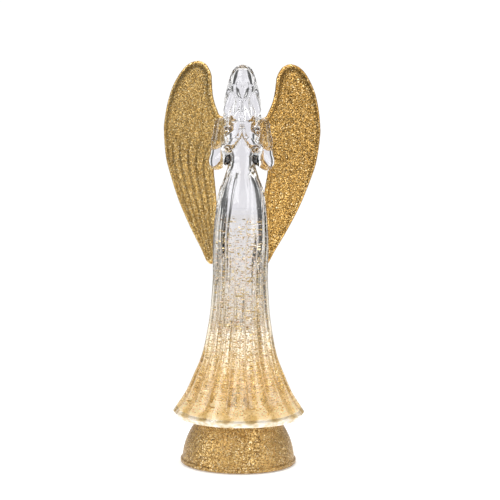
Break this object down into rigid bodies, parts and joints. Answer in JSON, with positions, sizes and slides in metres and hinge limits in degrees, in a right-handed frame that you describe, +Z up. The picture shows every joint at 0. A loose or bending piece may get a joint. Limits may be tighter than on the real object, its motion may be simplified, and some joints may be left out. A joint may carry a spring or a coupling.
{
  "type": "lit glitter angel figurine",
  "caption": "Clear praying angel whose hollow flared gown holds liquid and swirling glitter, with gold glitter wings and a gold round base that houses the light, motor and cells.",
  "frame": {"origin": "centre of the round base on the table it stands on", "axes": "+Z up, -Y the way the angel faces, +X the angel's own left"},
  "size_m": [0.1195, 0.0996, 0.302],
  "materials": {
    "base_plastic": "moulded",
    "black_plastic": "moulded",
    "black_rubber": "matt",
    "cell_jacket": "plain printed jacket",
    "chamber_liquid": "clear liquid",
    "circuit_board": "solder resist",
    "clear_acrylic": "polished clear acrylic",
    "clear_rotor": "clear moulded",
    "contact_metal": "nickel plated",
    "copper_winding": "enamelled winding on a laminated core",
    "ferrite": "sintered",
    "frosted_plug": "frosted clear",
    "gold_glitter": "gold glitter in clear lacquer",
    "lead_black": "insulation",
    "lead_red": "insulation",
    "lead_white": "insulation",
    "light_lens": "clear epoxy",
    "loose_glitter": "metallised film flakes",
    "magnet_nickel": "nickel plated",
    "motor_steel": "plated",
    "pin_steel": "ground",
    "screw_steel": "zinc plated",
    "white_plastic": "moulded",
    "white_stopper": "matt"
  },
  "bodies": {
    "figurine": {"angel_figure": "clear_acrylic", "gown_shell": "clear_acrylic", "chamber_liquid": "chamber_liquid", "glitter_flakes": "loose_glitter", "wing_left": "gold_glitter", "wing_right": "gold_glitter", "chamber_plug": "frosted_plug", "plug_seal": "black_rubber", "fill_stopper": "white_stopper", "plug_screws": "screw_steel", "impeller_pin": "pin_steel", "pin_cap": "white_plastic", "base_housing": "gold_glitter", "base_plate": "base_plastic", "base_screws": "screw_steel", "rubber_feet": "black_rubber", "battery_1": "cell_jacket", "battery_2": "cell_jacket", "battery_3": "cell_jacket", "contact_springs": "contact_metal", "contact_plates": "contact_metal", "motor_can": "motor_steel", "motor_end_cap": "white_plastic", "motor_ring_magnet": "ferrite", "motor_bracket": "white_plastic", "bracket_screws": "screw_steel", "light_board": "circuit_board", "light_1": "light_lens", "light_2": "light_lens", "light_3": "light_lens", "light_4": "light_lens", "timer_chip": "black_plastic", "switch_body": "black_plastic", "switch_leads": "lead_white", "battery_leads": "lead_red", "motor_leads": "lead_black"},
    "motor_rotor": {"motor_shaft": "pin_steel", "motor_armature": "copper_winding", "magnet_carrier": "white_plastic", "drive_magnets": "magnet_nickel"},
    "impeller_rotor": {"impeller": "clear_rotor", "impeller_magnets": "magnet_nickel"},
    "switch_slider": {"switch_knob": "black_plastic"},
    "door": {"battery_door": "base_plastic"}
  },
  "joints": [
    {"name": "motor_spin", "type": "hinge", "parent": "figurine", "child": "motor_rotor", "pos_m": [0, 0, 0.028], "axis": [0, 0, 1], "continuous": true},
    {"name": "impeller_spin", "type": "hinge", "parent": "figurine", "child": "impeller_rotor", "pos_m": [0, 0, 0.044], "axis": [0, 0, 1], "continuous": true},
    {"name": "switch_slide", "type": "slide", "parent": "figurine", "child": "switch_slider", "axis": [0, 1, 0], "range_m": [-0.002, 0.002]},
    {"name": "door_hinge", "type": "hinge", "parent": "figurine", "child": "door", "pos_m": [0, 0.0282, 0.0036], "axis": [1, 0, 0], "range_deg": [0, 80]}
  ],
  "couplings": [
    {"joint": "impeller_spin", "follows": "motor_spin", "ratio": 1}
  ]
}
